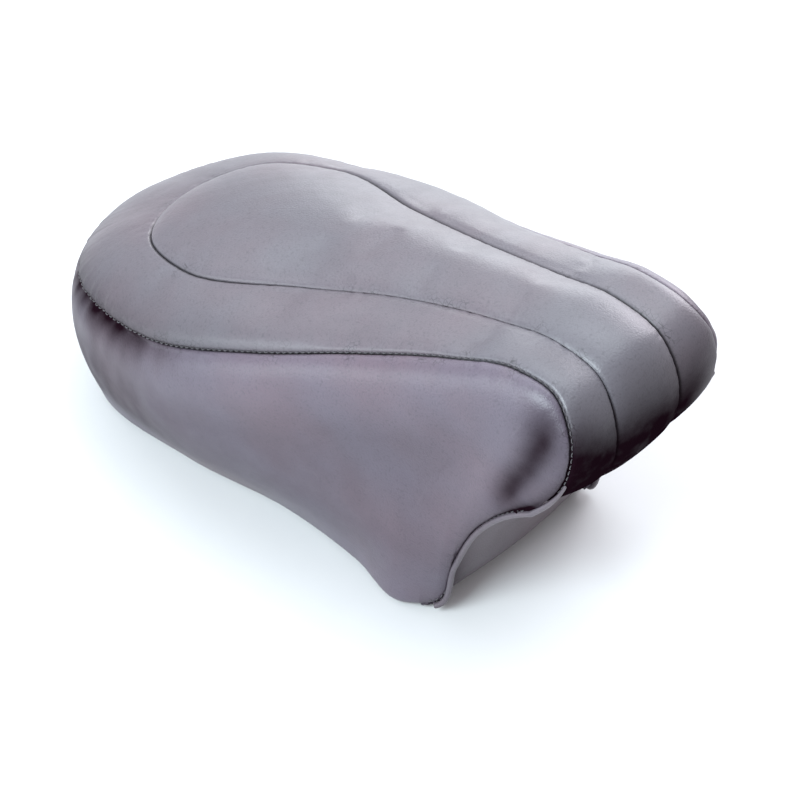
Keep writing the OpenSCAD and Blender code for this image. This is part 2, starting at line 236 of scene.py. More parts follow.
def weighted_slopes(points: Array, gaps: Array) -> Array:
    """Slopes at each of n points, each the mean of the spans beside it weighted by the other's length.

    Args:
        points: (rows, n, 3).
        gaps: (rows, n - 1) span lengths.

    Returns:
        (rows, n, 3) slopes; the two end slopes are extrapolated.
    """
    chord = np.diff(points, axis=1) / gaps[..., None]
    before, after = gaps[:, :-1, None], gaps[:, 1:, None]
    inner = (chord[:, :-1] * after + chord[:, 1:] * before) / (before + after)
    first = 1.5 * chord[:, :1] - 0.5 * inner[:, :1]
    last = 1.5 * chord[:, -1:] - 0.5 * inner[:, -1:]
    return np.concatenate([first, inner, last], axis=1)


@dataclass
class PadForm:
    """The pad's outer form as five rails; t runs along them and v across them.

    Stations are [half width, y, z] in millimetres at the design size, and are fitted to the
    frame's own box.
    """

    design_low_mm: tuple[float, float, float] = (-84.98, -174.2, 0.0)
    design_high_mm: tuple[float, float, float] = (84.98, 174.2, 171.0)
    shift_y_mm: float = 12.4
    tip: float = 4.5
    facing_bulge_mm: float = 6.0
    facing_inset_mm: float = 3.0
    foot_mm: float = 2.0
    spine: tuple = ((0, -174, 102), (0, -184, 118), (0, -185, 144), (0, -173, 166), (0, -148, 171),
                    (0, -112, 166), (0, -60, 154), (0, -10, 140), (0, 50, 123), (0, 92, 108), (0, 106, 100))
    insert_seam: tuple = ((21, -173, 103), (21, -183, 118), (21, -184, 142), (20, -173, 161), (20, -148, 167),
                          (21, -116, 161), (27, -62, 147), (38, -12, 131), (52, 52, 113), (37, 92, 104),
                          (0, 106, 100))
    shoulder: tuple = ((51, -170, 107), (50.5, -180.5, 125.5), (47.3, -179.7, 150.5), (43.2, -167.7, 162.8),
                       (43.2, -144.7, 164.8), (47.7, -111.7, 154.2), (59.2, -61.2, 134), (73, -14, 115),
                       (81, 50, 91), (61, 119, 79), (0, 149, 72))
    wall: tuple = ((52, -168, 103), (54, -165, 105), (56, -158, 110), (57, -145, 110), (57, -130, 104),
                   (59, -106, 90), (66, -62, 72), (76, -14, 62), (83, 52, 54), (62, 124, 50), (0, 160, 48))
    hem: tuple = ((52, -165, 100), (53, -152, 91), (53.5, -134, 70), (53.5, -119.5, 37), (55, -109.5, 5.5),
                  (63, -96, 2), (57, -62, 2), (54, -14, 2), (61, 45, 2), (57, 112, 2), (0, 150, 2))
    rails: dict[str, Rail] = field(init=False)

    def __post_init__(self) -> None:
        """Fits the stations to the frame's box and makes the rails."""
        low, high = (np.asarray(c, float) for c in CAD_BOX)
        fit = (high - low) / ((np.asarray(self.design_high_mm) - np.asarray(self.design_low_mm)) * MM)
        shift = np.array([0.0, self.shift_y_mm, 0.0])
        self.rails = {
            name: Rail((np.asarray(getattr(self, name), float) + shift) * MM * fit, name != "spine")
            for name in ("spine", "insert_seam", "shoulder", "wall", "hem")
        }
        self.last = len(self.hem) - 1

    def cross(self, t: Array, v: Array) -> Array:
        """Points of the right half: v is 0 at the centre, 1 insert seam, 2 shoulder, 3 wall, 4 hem."""
        t, v = np.broadcast_arrays(np.asarray(t, float), np.asarray(v, float))
        shape = t.shape
        t, v = t.ravel(), v.ravel()
        points = np.stack([rail.at(t) for rail in self.rails.values()], axis=1)
        gaps = np.maximum(np.linalg.norm(np.diff(points, axis=1), axis=-1), 1e-6)
        slopes = weighted_slopes(points, gaps)
        i = np.clip(v.astype(int), 0, 3)
        rows = np.arange(len(t))
        out = hermite(
            points[rows, i], points[rows, i + 1], slopes[rows, i], slopes[rows, i + 1],
            gaps[rows, i][:, None], (v - i)[:, None],
        )
        return out.reshape(shape + (3,))

    def insert(self, t: Array, u: Array) -> Array:
        """Rows of the insert: a parabola from seam to seam through the spine, u from -1 to 1."""
        t, u = np.broadcast_arrays(np.asarray(t, float), np.asarray(u, float))
        edge, centre = self.rails["insert_seam"].at(t), self.rails["spine"].at(t)
        crown = (1.0 - u**2)[..., None]
        out = edge + (centre - edge) * crown
        out[..., 0] = edge[..., 0] * u
        return out

    def facing(self, t: Array, u: Array) -> Array:
        """Rows of the facing: from front edge to front edge, bowed forward by 1 - u^2."""
        t, u = np.broadcast_arrays(np.asarray(t, float), np.asarray(u, float))
        edge = self.rails["hem"].at(t)
        down = np.minimum(t / self.tip, 1.0)
        flat = 0.65 * np.minimum(t, self.tip) / self.tip + 0.25 * np.maximum(0.0, t - self.tip)
        bow = self.facing_bulge_mm * MM * np.maximum(0.06, 1.0 - flat) * (1.0 - u**2)
        inset = self.facing_inset_mm * MM
        out = np.empty(t.shape + (3,))
        out[..., 0] = (edge[..., 0] - inset) * u
        out[..., 1] = edge[..., 1] + inset - bow
        out[..., 2] = np.maximum(self.foot_mm * MM, edge[..., 2] - 4 * MM * (1.0 - u**2) * (1.0 - down))
        return out

    def hem_inward(self, t: Array) -> Array:
        """Direction in towards the middle of the footprint, square to the hem, on the right side."""
        hem = self.rails["hem"]
        d = hem.at(np.minimum(t + 0.05, self.last)) - hem.at(t - 0.05)
        inward = unit(np.stack([-d[..., 1], d[..., 0], np.zeros_like(t)], axis=-1))
        inward[t > self.last - 0.02] = (0.0, -1.0, 0.0)
        return inward


# ---- meshes ----


def mark(mesh: bpy.types.Mesh, name: str, values: Array) -> None:
    """Stores a number for each vertex as a point attribute."""
    mesh.attributes.new(name, "FLOAT", "POINT").data.foreach_set("value", values.astype(np.float32).ravel())


def add_mesh(name: str, points: Array, faces: Array, **marks: Array) -> bpy.types.Object:
    """Makes a smooth-shaded mesh object at the origin.

    Args:
        name: the piece's name.
        points: (n, 3) vertices.
        faces: (m, 4) vertex numbers, facing outwards; a repeated corner makes a triangle.
        marks: numbers for each vertex, stored as attributes of the same names.

    Returns:
        The linked object.
    """
    mesh = bpy.data.meshes.new(name)
    mesh.from_pydata(points.tolist(), [], [list(dict.fromkeys(face)) for face in faces.tolist()])
    for name_of_mark, values in marks.items():
        mark(mesh, name_of_mark, values)
    mesh.shade_smooth()
    mesh.update()
    piece = bpy.data.objects.new(name, mesh)
    bpy.context.scene.collection.objects.link(piece)
    return piece


def grid_faces(rows: int, cols: int, flip: bool, wrap: bool = False) -> Array:
    """Quads between neighbouring points of a grid.

    Args:
        rows: points along the first axis.
        cols: points along the second axis.
        flip: turns the faces round.
        wrap: joins the last column to the first.

    Returns:
        (n, 4) vertex numbers.
    """
    i, j = np.meshgrid(np.arange(rows - 1), np.arange(cols if wrap else cols - 1), indexing="ij")
    k = (j + 1) % cols
    quads = np.stack([i * cols + j, (i + 1) * cols + j, (i + 1) * cols + k, i * cols + k], axis=-1)
    quads = quads.reshape(-1, 4)
    return quads[:, ::-1] if flip else quads


def capped_faces(rings: int, sides: int) -> Array:
    """Faces of closed rings joined one to the next, with strips of quads across both ends.

    Args:
        rings: number of rings.
        sides: points round each ring, an even number.

    Returns:
        (n, 4) vertex numbers.
    """
    k = np.arange(sides // 2 - 1)
    cap = np.stack([k, k + 1, sides - 2 - k, sides - 1 - k], axis=-1)
    body = grid_faces(rings, sides, flip=False, wrap=True)
    return np.concatenate([body, cap, (rings - 1) * sides + cap[:, ::-1]])


def tube_mesh(path: Array, radius: Array | float, sides: int) -> tuple[Array, Array]:
    """A closed tube: a circle carried along a path, with a point at each end.

    Args:
        path: (n, 3) centre line.
        radius: radius, or one for each point of the path.
        sides: points round the circle.

    Returns:
        (vertices, triangles and quads as (m, 4) with repeated last corner for the caps).
    """
    n = len(path)
    along = unit(np.gradient(path, axis=0))
    side = unit(np.cross(along, np.array([0.31, 0.17, 0.93])))
    up = np.cross(side, along)
    angle = np.linspace(0.0, 2.0 * np.pi, sides, endpoint=False)
    size = np.broadcast_to(np.asarray(radius, float), (n,))[:, None, None]
    ring = path[:, None] + size * (
        np.cos(angle)[None, :, None] * side[:, None] + np.sin(angle)[None, :, None] * up[:, None]
    )
    points = np.concatenate([ring.reshape(-1, 3), path[:1], path[-1:]])
    body = grid_faces(n, sides, flip=True, wrap=True)
    k = np.arange(sides)
    nxt = (k + 1) % sides
    start = np.stack([np.full(sides, n * sides), k, nxt, nxt], axis=-1)
    end = np.stack([np.full(sides, n * sides + 1), (n - 1) * sides + nxt, (n - 1) * sides + k,
                    (n - 1) * sides + k], axis=-1)
    return points, np.concatenate([body, start[:, [0, 2, 1, 1]], end[:, [0, 2, 1, 1]]])


def join_parts(name: str, parts: Sequence[tuple[Array, Array]]) -> bpy.types.Object:
    """One object from several (vertices, faces) parts."""
    starts = np.cumsum([0] + [len(points) for points, _ in parts])
    faces = [part_faces + start for (_, part_faces), start in zip(parts, starts)]
    return add_mesh(name, np.concatenate([points for points, _ in parts]), np.concatenate(faces))


def weld(piece: bpy.types.Object, distance: float) -> None:
    """Merges vertices closer than distance, such as those of a closed seam or pole."""
    bm = bmesh.new()
    bm.from_mesh(piece.data)
    bmesh.ops.remove_doubles(bm, verts=bm.verts, dist=distance)
    bmesh.ops.dissolve_degenerate(bm, edges=bm.edges, dist=distance * 0.1)
    bm.to_mesh(piece.data)
    bm.free()


def thicken(piece: bpy.types.Object, thickness: float) -> None:
    """Gives a sheet its thickness on its inner side."""
    solid = piece.modifiers.new("thickness", "SOLIDIFY")
    solid.thickness = thickness
    solid.offset = -1.0
    solid.use_rim = True


# ---- shader tools ----


class Sock:
    """A node socket that takes part in Python arithmetic by adding Math nodes."""

    def __init__(self, tree: "Tree", socket: bpy.types.NodeSocket) -> None:
        """Wraps an output socket of a tree."""
        self.tree = tree
        self.socket = socket

    def _op(self, operation: str, a: Any, b: Any) -> "Sock":
        """Adds one Math node."""
        return self.tree.add("ShaderNodeMath", {"operation": operation}, {0: a, 1: b})

    def __add__(self, other: Any) -> "Sock":
        """self + other."""
        return self._op("ADD", self, other)

    def __radd__(self, other: Any) -> "Sock":
        """other + self."""
        return self._op("ADD", other, self)

    def __sub__(self, other: Any) -> "Sock":
        """self - other."""
        return self._op("SUBTRACT", self, other)

    def __rsub__(self, other: Any) -> "Sock":
        """other - self."""
        return self._op("SUBTRACT", other, self)

    def __mul__(self, other: Any) -> "Sock":
        """self * other."""
        return self._op("MULTIPLY", self, other)

    def __rmul__(self, other: Any) -> "Sock":
        """other * self."""
        return self._op("MULTIPLY", other, self)


class Tree:
    """A material's node tree and the one method that adds nodes to it."""

    def __init__(self, name: str) -> None:
        """Makes an empty material."""
        self.material = bpy.data.materials.new(name)
        self.material.use_nodes = True
        self.nodes = self.material.node_tree.nodes
        self.links = self.material.node_tree.links
        self.nodes.clear()

    def add(self, kind: str, settings: dict[str, Any], inputs: dict[Any, Any], output: Any = 0) -> Sock:
        """Adds a node.

        Args:
            kind: the node's type.
            settings: attributes set first.
            inputs: values or links by socket name or number.
            output: name or number of the output that is wanted.

        Returns:
            The wrapped output socket.
        """
        node = self.nodes.new(kind)
        for key, value in settings.items():
            setattr(node, key, value)
        for key, value in inputs.items():
            if isinstance(value, Sock):
                self.links.new(value.socket, node.inputs[key])
            else:
                node.inputs[key].default_value = value
        return Sock(self, node.outputs[output])

    def coords(self) -> Sock:
        """Object coordinates."""
        return self.add("ShaderNodeTexCoord", {}, {}, "Object")

    def noise(self, scale: float, detail: float, rough: float = 0.5, where: Sock | None = None) -> Sock:
        """Noise value on object coordinates."""
        inputs = {"Vector": where or self.coords(), "Scale": scale, "Detail": detail, "Roughness": rough}
        return self.add("ShaderNodeTexNoise", {}, inputs, "Fac")

    def ramp(self, value: Sock, low: float, high: float) -> Sock:
        """0 to 1 as value goes from low to high, clamped and smooth."""
        inputs = {"Value": value, "From Min": low, "From Max": high}
        return self.add("ShaderNodeMapRange", {"interpolation_type": "SMOOTHSTEP"}, inputs, "Result")

    def mix(self, factor: Sock, a: Any, b: Any) -> Sock:
        """Mixes two colours."""
        return self.add("ShaderNodeMix", {"data_type": "RGBA"}, {0: factor, 6: a, 7: b}, 2)

    def bump(self, height: Sock, distance: float, strength: float, normal: Sock | None = None) -> Sock:
        """A Bump node."""
        inputs: dict[Any, Any] = {"Height": height, "Distance": distance, "Strength": strength}
        if normal is not None:
            inputs["Normal"] = normal
        return self.add("ShaderNodeBump", {}, inputs, "Normal")

    def principled(self, inputs: dict[str, Any]) -> Sock:
        """Adds a Principled shader."""
        return self.add("ShaderNodeBsdfPrincipled", {}, inputs, "BSDF")

    def surface(self, inputs: dict[str, Any]) -> bpy.types.Material:
        """Closes the tree with one Principled shader."""
        return self.close(self.principled(inputs))

    def close(self, shader: Sock) -> bpy.types.Material:
        """Joins a shader to the material's output."""
        out = self.nodes.new("ShaderNodeOutputMaterial")
        self.links.new(shader.socket, out.inputs["Surface"])
        return self.material


Colour = tuple[float, float, float, float]


def rgb(r: float, g: float, b: float) -> Colour:
    """An opaque colour."""
    return (r, g, b, 1.0)


def shade(colour: Colour, share: float, lift: float = 0.0) -> Colour:
    """A colour times a share plus a lift, at most white."""
    return rgb(*(min(1.0, c * share + lift) for c in colour[:3]))


@dataclass(frozen=True)
class VinylFinish:
    """Satin upholstery vinyl with a pressed grain."""

    name: str
    base: Colour
    warm: Colour
    roughness: float = 0.42
    grain_mm: float = 0.9
    grain_depth_mm: float = 0.16
    crackle_mm: float = 2.6
    coat: float = 0.2
    # colour of the painted shade in recesses and under the nose
    shade_paint: Colour = (0.008, 0.003, 0.0055, 1.0)

    def build(self) -> bpy.types.Material:
        """Grain and crackle from cells, slow colour drift, dark creases at seams, a lighter strip beside them
        that is part rubbed wear and part painted highlight, and painted shade from a vertex attribute.
        """
        tree = Tree(self.name)
        where = tree.coords()
        warp = tree.noise(380.0, 2.0, where=where)
        shifted = tree.add("ShaderNodeVectorMath", {"operation": "MULTIPLY_ADD"},
                           {0: warp, 1: (0.0012, 0.0012, 0.0012), 2: where}, "Vector")
        cells = tree.add("ShaderNodeTexVoronoi", {"feature": "SMOOTH_F1"},
                         {"Vector": shifted, "Scale": 1000.0 / self.grain_mm, "Smoothness": 0.6}, "Distance")
        pores = tree.noise(2600.0, 3.0, 0.6, where)
        drift = tree.noise(14.0, 3.0, 0.55, where)
        cloud = tree.noise(55.0, 4.0, 0.6, where)
        near = tree.add("ShaderNodeAttribute", {"attribute_name": "seam"}, {}, "Fac")
        crease = 1.0 - tree.ramp(near, 0.0, 0.0010)
        # a lighter strip about 1 to 7 mm from each seam: part rubbed wear, part painted highlight
        wear_and_highlight = tree.ramp(near, 0.0008, 0.002) - tree.ramp(near, 0.002, 0.007)
        tint = tree.mix(tree.ramp(drift, 0.35, 0.68), self.base, self.warm)
        mottled = tree.mix(tree.ramp(cloud, 0.3, 0.75) * 0.35, tint, shade(self.base, 0.78))
        lit = tree.mix(wear_and_highlight * tree.ramp(cloud, 0.35, 0.7) * 0.30, mottled, shade(self.base, 1.35))
        pits = tree.mix(tree.ramp(cells, 0.5, 0.9) * 0.4, lit, shade(self.base, 0.5))
        edges = tree.add("ShaderNodeTexVoronoi", {"feature": "DISTANCE_TO_EDGE"},
                         {"Vector": shifted, "Scale": 1000.0 / self.crackle_mm}, "Distance")
        worn = (1.0 - tree.ramp(edges, 0.0, 0.07)) * (1.0 - tree.ramp(near, 0.0015, 0.0075))
        pits = tree.mix(worn * tree.ramp(cloud, 0.48, 0.62) * 0.75, pits, shade(self.base, 0.12))
        # painted shade: the attribute marks recesses, the rear undercut and the underside of the nose, where
        # shade falls
        soil = tree.add("ShaderNodeAttribute", {"attribute_name": "soil"}, {}, "Fac")
        colour = tree.mix(crease * 0.85, pits, shade(self.base, 0.12))
        rough = self.roughness + (cloud - 0.5) * 0.16 + crease * 0.25 + (pores - 0.5) * 0.08
        height = (1.0 - cells) * 0.8 + pores * 0.35
        fine = tree.bump(height, self.grain_depth_mm * MM, 0.8)
        slow = tree.bump(cloud, 0.35 * MM, 0.35, fine)
        unshaded = tree.principled({"Base Color": colour, "Roughness": rough, "Normal": slow,
                                 "Coat Weight": self.coat, "Coat Roughness": 0.35})
        # a dark, matte shader that paints shade over the vinyl
        shade_paint = tree.principled({"Base Color": self.shade_paint, "Roughness": 0.95,
                                 "Specular IOR Level": 0.0, "Normal": slow})
        share = soil * (0.85 + cloud * 0.35)
        return tree.close(tree.add("ShaderNodeMixShader", {}, {0: share, 1: unshaded, 2: shade_paint}))


@dataclass(frozen=True)
class ThreadFinish:
    """Bonded thread: a twist on the stitches and a soft sheen."""

    name: str
    base: Colour

    def build(self) -> bpy.types.Material:
        """Fine slanting bands darken and bump the thread."""
        tree = Tree(self.name)
        twist = tree.add("ShaderNodeTexWave", {"wave_type": "BANDS", "bands_direction": "DIAGONAL"},
                         {"Vector": tree.coords(), "Scale": 900.0, "Distortion": 1.5, "Detail": 2.0}, "Fac")
        fuzz = tree.noise(1800.0, 3.0)
        colour = tree.mix(twist * 0.5 + fuzz * 0.3, self.base, shade(self.base, 2.2))
        return tree.surface({"Base Color": colour, "Roughness": 0.55 + fuzz * 0.2,
                             "Normal": tree.bump(twist, 0.05 * MM, 0.6), "Sheen Weight": 0.2})


@dataclass(frozen=True)
class PlainFinish:
    """Moulded or metal surface with a fine texture, slow colour drift and scuffs."""

    name: str
    base: Colour
    metallic: float
    roughness: float
    grain_per_m: float
    grain_depth_mm: float
    drift: float = 0.25

    def build(self) -> bpy.types.Material:
        """Noise at three scales for texture, drift and scuffs."""
        tree = Tree(self.name)
        grain = tree.noise(self.grain_per_m, 3.0, 0.6)
        slow = tree.noise(30.0, 3.0)
        scuff = tree.ramp(tree.noise(160.0, 5.0, 0.7), 0.55, 0.75)
        dark = shade(self.base, 1.0 - self.drift)
        light = shade(self.base, 1.0 + self.drift, 0.01)
        colour = tree.mix(scuff * 0.3, tree.mix(tree.ramp(slow, 0.3, 0.7), self.base, dark), light)
        rough = self.roughness + (slow - 0.5) * 0.15 + scuff * 0.12
        return tree.surface({"Base Color": colour, "Metallic": self.metallic, "Roughness": rough,
                             "Normal": tree.bump(grain, self.grain_depth_mm * MM, 0.7)})


class Slot(Enum):
    """The record's material slots."""

    VINYL = "vinyl"
    SIDE = "vinyl_side"
    FACING = "vinyl_facing"
    WELT = "welt"
    THREAD = "thread"
    CORD = "cord"
    FOAM = "foam"
    TOPPER = "topper"
    PAN = "pan"
    BRASS = "brass"
    RUBBER = "rubber"
    STEEL = "steel"


class Wardrobe:
    """All finishes, built once and handed out by slot."""

    FINISHES = {
        Slot.VINYL: VinylFinish("satin_vinyl_top", rgb(0.100, 0.094, 0.110), rgb(0.112, 0.090, 0.106)),
        # the side vinyl is a darker, more mauve copy of the top vinyl: painted shade on the side panels
        Slot.SIDE: VinylFinish("shaded_satin_vinyl_side", rgb(0.096, 0.080, 0.108), rgb(0.108, 0.076, 0.098)),
        Slot.FACING: VinylFinish("dull_vinyl_facing", rgb(0.100, 0.084, 0.098), rgb(0.110, 0.082, 0.095),
                                 roughness=0.5),
        Slot.WELT: VinylFinish("welt_vinyl", rgb(0.085, 0.070, 0.086), rgb(0.095, 0.070, 0.084),
                               roughness=0.45, grain_mm=0.6, grain_depth_mm=0.04),
        Slot.THREAD: ThreadFinish("bonded_thread", rgb(0.035, 0.032, 0.036)),
        Slot.CORD: PlainFinish("filler_cord", rgb(0.74, 0.70, 0.60), 0.0, 0.9, 1600.0, 0.1),
        Slot.FOAM: PlainFinish("moulded_foam", rgb(0.040, 0.040, 0.042), 0.0, 0.85, 900.0, 0.25),
        Slot.TOPPER: PlainFinish("soft_topper_foam", rgb(0.42, 0.58, 0.68), 0.0, 0.9, 1200.0, 0.35),
        Slot.PAN: PlainFinish("moulded_pan", rgb(0.035, 0.035, 0.038), 0.0, 0.5, 1400.0, 0.06),
        Slot.BRASS: PlainFinish("turned_brass", rgb(0.72, 0.50, 0.20), 1.0, 0.28, 2200.0, 0.02),
        Slot.RUBBER: PlainFinish("moulded_rubber", rgb(0.022, 0.022, 0.023), 0.0, 0.7, 800.0, 0.08),
        Slot.STEEL: PlainFinish("zinc_plated_steel", rgb(0.60, 0.61, 0.63), 1.0, 0.32, 1500.0, 0.02),
    }

    def __init__(self) -> None:
        """Builds every material."""
        self.materials = {slot: finish.build() for slot, finish in self.FINISHES.items()}

    def dress(self, piece: bpy.types.Object, slot: Slot) -> None:
        """Puts a slot's material on a new piece."""
        piece.data.materials.clear()
        piece.data.materials.append(self.materials[slot])

    def dress_frame(self) -> None:
        """Puts the finishes on the CAD nodes that stay in view."""
        slots = {part["node"]: part["material_slot"] for part in frame["record"]["subparts"]}
        for node, obj in frame["nodes"].items():
            material = self.materials[Slot(slots[node])]
            for place in obj.material_slots:
                place.material = material


def finish_piece(piece: bpy.types.Object, *nodes: str) -> bpy.types.Object:
    """Lets a piece ride on the body, stand for its nodes, and logs it."""
    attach(piece, BODY)
    if nodes:
        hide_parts(*nodes)
    LOG.info("%s: %d vertices", piece.name, len(piece.data.vertices))
    return piece


# ---- cover ----


@dataclass(frozen=True)
class ClothSettle:
    """Swells a panel that is sewn down all round, with Blender's cloth."""

    pressure: float = 4.0
    growth: float = 0.0015
    frames: int = 20
    cap_mm: float = 0.9
    quality: int = 5
    mass: float = 0.15
    bending: float = 12.0

    def displacement(self, name: str, grid: Array, outward: float) -> Array:
        """Simulates the coarse grid with its border pinned and reads how far each point moved.

        Args:
            name: name of the trial mesh.
            grid: (rows, cols, 3) coarse points.
            outward: sign that turns the grid's cross product outwards.

        Returns:
            Displacements shaped like grid, each length d limited to cap * tanh(d / cap).
        """
        rows, cols = grid.shape[:2]
        trial = add_mesh(name, grid.reshape(-1, 3), grid_faces(rows, cols, flip=outward < 0))
        border = np.zeros((rows, cols), bool)
        border[[0, -1], :] = True
        border[:, [0, -1]] = True
        pins = trial.vertex_groups.new(name="sewn")
        pins.add(np.flatnonzero(border.ravel()).tolist(), 1.0, "REPLACE")
        cloth = trial.modifiers.new("cloth", "CLOTH")
        cloth.settings.quality = self.quality
        cloth.settings.mass = self.mass
        cloth.settings.vertex_group_mass = "sewn"
        cloth.settings.tension_stiffness = 25.0
        cloth.settings.compression_stiffness = 25.0
        cloth.settings.shear_stiffness = 12.0
        cloth.settings.bending_stiffness = self.bending
        cloth.settings.use_pressure = True
        cloth.settings.uniform_pressure_force = self.pressure
        cloth.settings.shrink_min = -self.growth
        cloth.settings.effector_weights.gravity = 0.0
        cloth.collision_settings.use_collision = False
        cloth.point_cache.frame_start = 1
        cloth.point_cache.frame_end = self.frames
        scene = bpy.context.scene
        for frame_number in range(1, self.frames + 1):
            scene.frame_set(frame_number)
        graph = bpy.context.evaluated_depsgraph_get()
        result = trial.evaluated_get(graph)
        moved = np.empty(rows * cols * 3, np.float32)
        result.data.vertices.foreach_get("co", moved)
        bpy.data.objects.remove(trial)
        scene.frame_set(1)
        change = moved.reshape(grid.shape).astype(float) - grid
        size = np.linalg.norm(change, axis=-1, keepdims=True)
        cap = self.cap_mm * MM
        return change * np.where(size > 1e-9, cap * np.tanh(size / cap) / np.maximum(size, 1e-9), 0.0)


@dataclass
class Surface:
    """A finished panel surface that stitches can be laid on."""

    grid: Array
    normals: Array

    def settle(self, path: Array, lift: float) -> tuple[Array, Array]:
        """Moves path points onto the surface along its normals and lifts them.

        Args:
            path: (n, 3) points near the surface.
            lift: height above the surface.

        Returns:
            (points, normals).
        """
        _, found = nearest(path, self.grid.reshape(-1, 3))
        place = self.grid.reshape(-1, 3)[found]
        normal = self.normals.reshape(-1, 3)[found]
        off = ((path - place) * normal).sum(axis=1, keepdims=True)
        return path - (off - lift) * normal, normal


@dataclass
class Seam:
    """A seam line that panels fold in at."""

    path: Array

    def __post_init__(self) -> None:
        """Measures the path."""
        self.walked = lengths_along(self.path, 0)

    def near(self, grid: Array) -> tuple[Array, Array]:
        """Distance from the seam and distance walked along it, for a grid of points."""
        gap, found = nearest(grid, self.path)
        return gap, self.walked[found]


class Ripple:
    """Puckers that run square to a seam and die away from it."""

    def __init__(self, seed: int, height_mm: float, reach_mm: float, pitch_mm: float) -> None:
        """Draws the irregular spacing and the slow gate along the seam."""
        self.wave = Wander(seed, pitch_mm * MM)
        self.gate = Wander(seed + 50, 60 * MM, 4)
        self.height = height_mm * MM
        self.reach = reach_mm * MM

    def __call__(self, distance: Array, along: Array) -> Array:
        """height * wave(along) * exp(-distance / reach) * gate(along)."""
        gate = 0.3 + 0.7 * smooth_step(self.gate(along), -0.3, 0.5)
        return self.height * self.wave(along, distance) * gate * np.exp(-distance / self.reach)


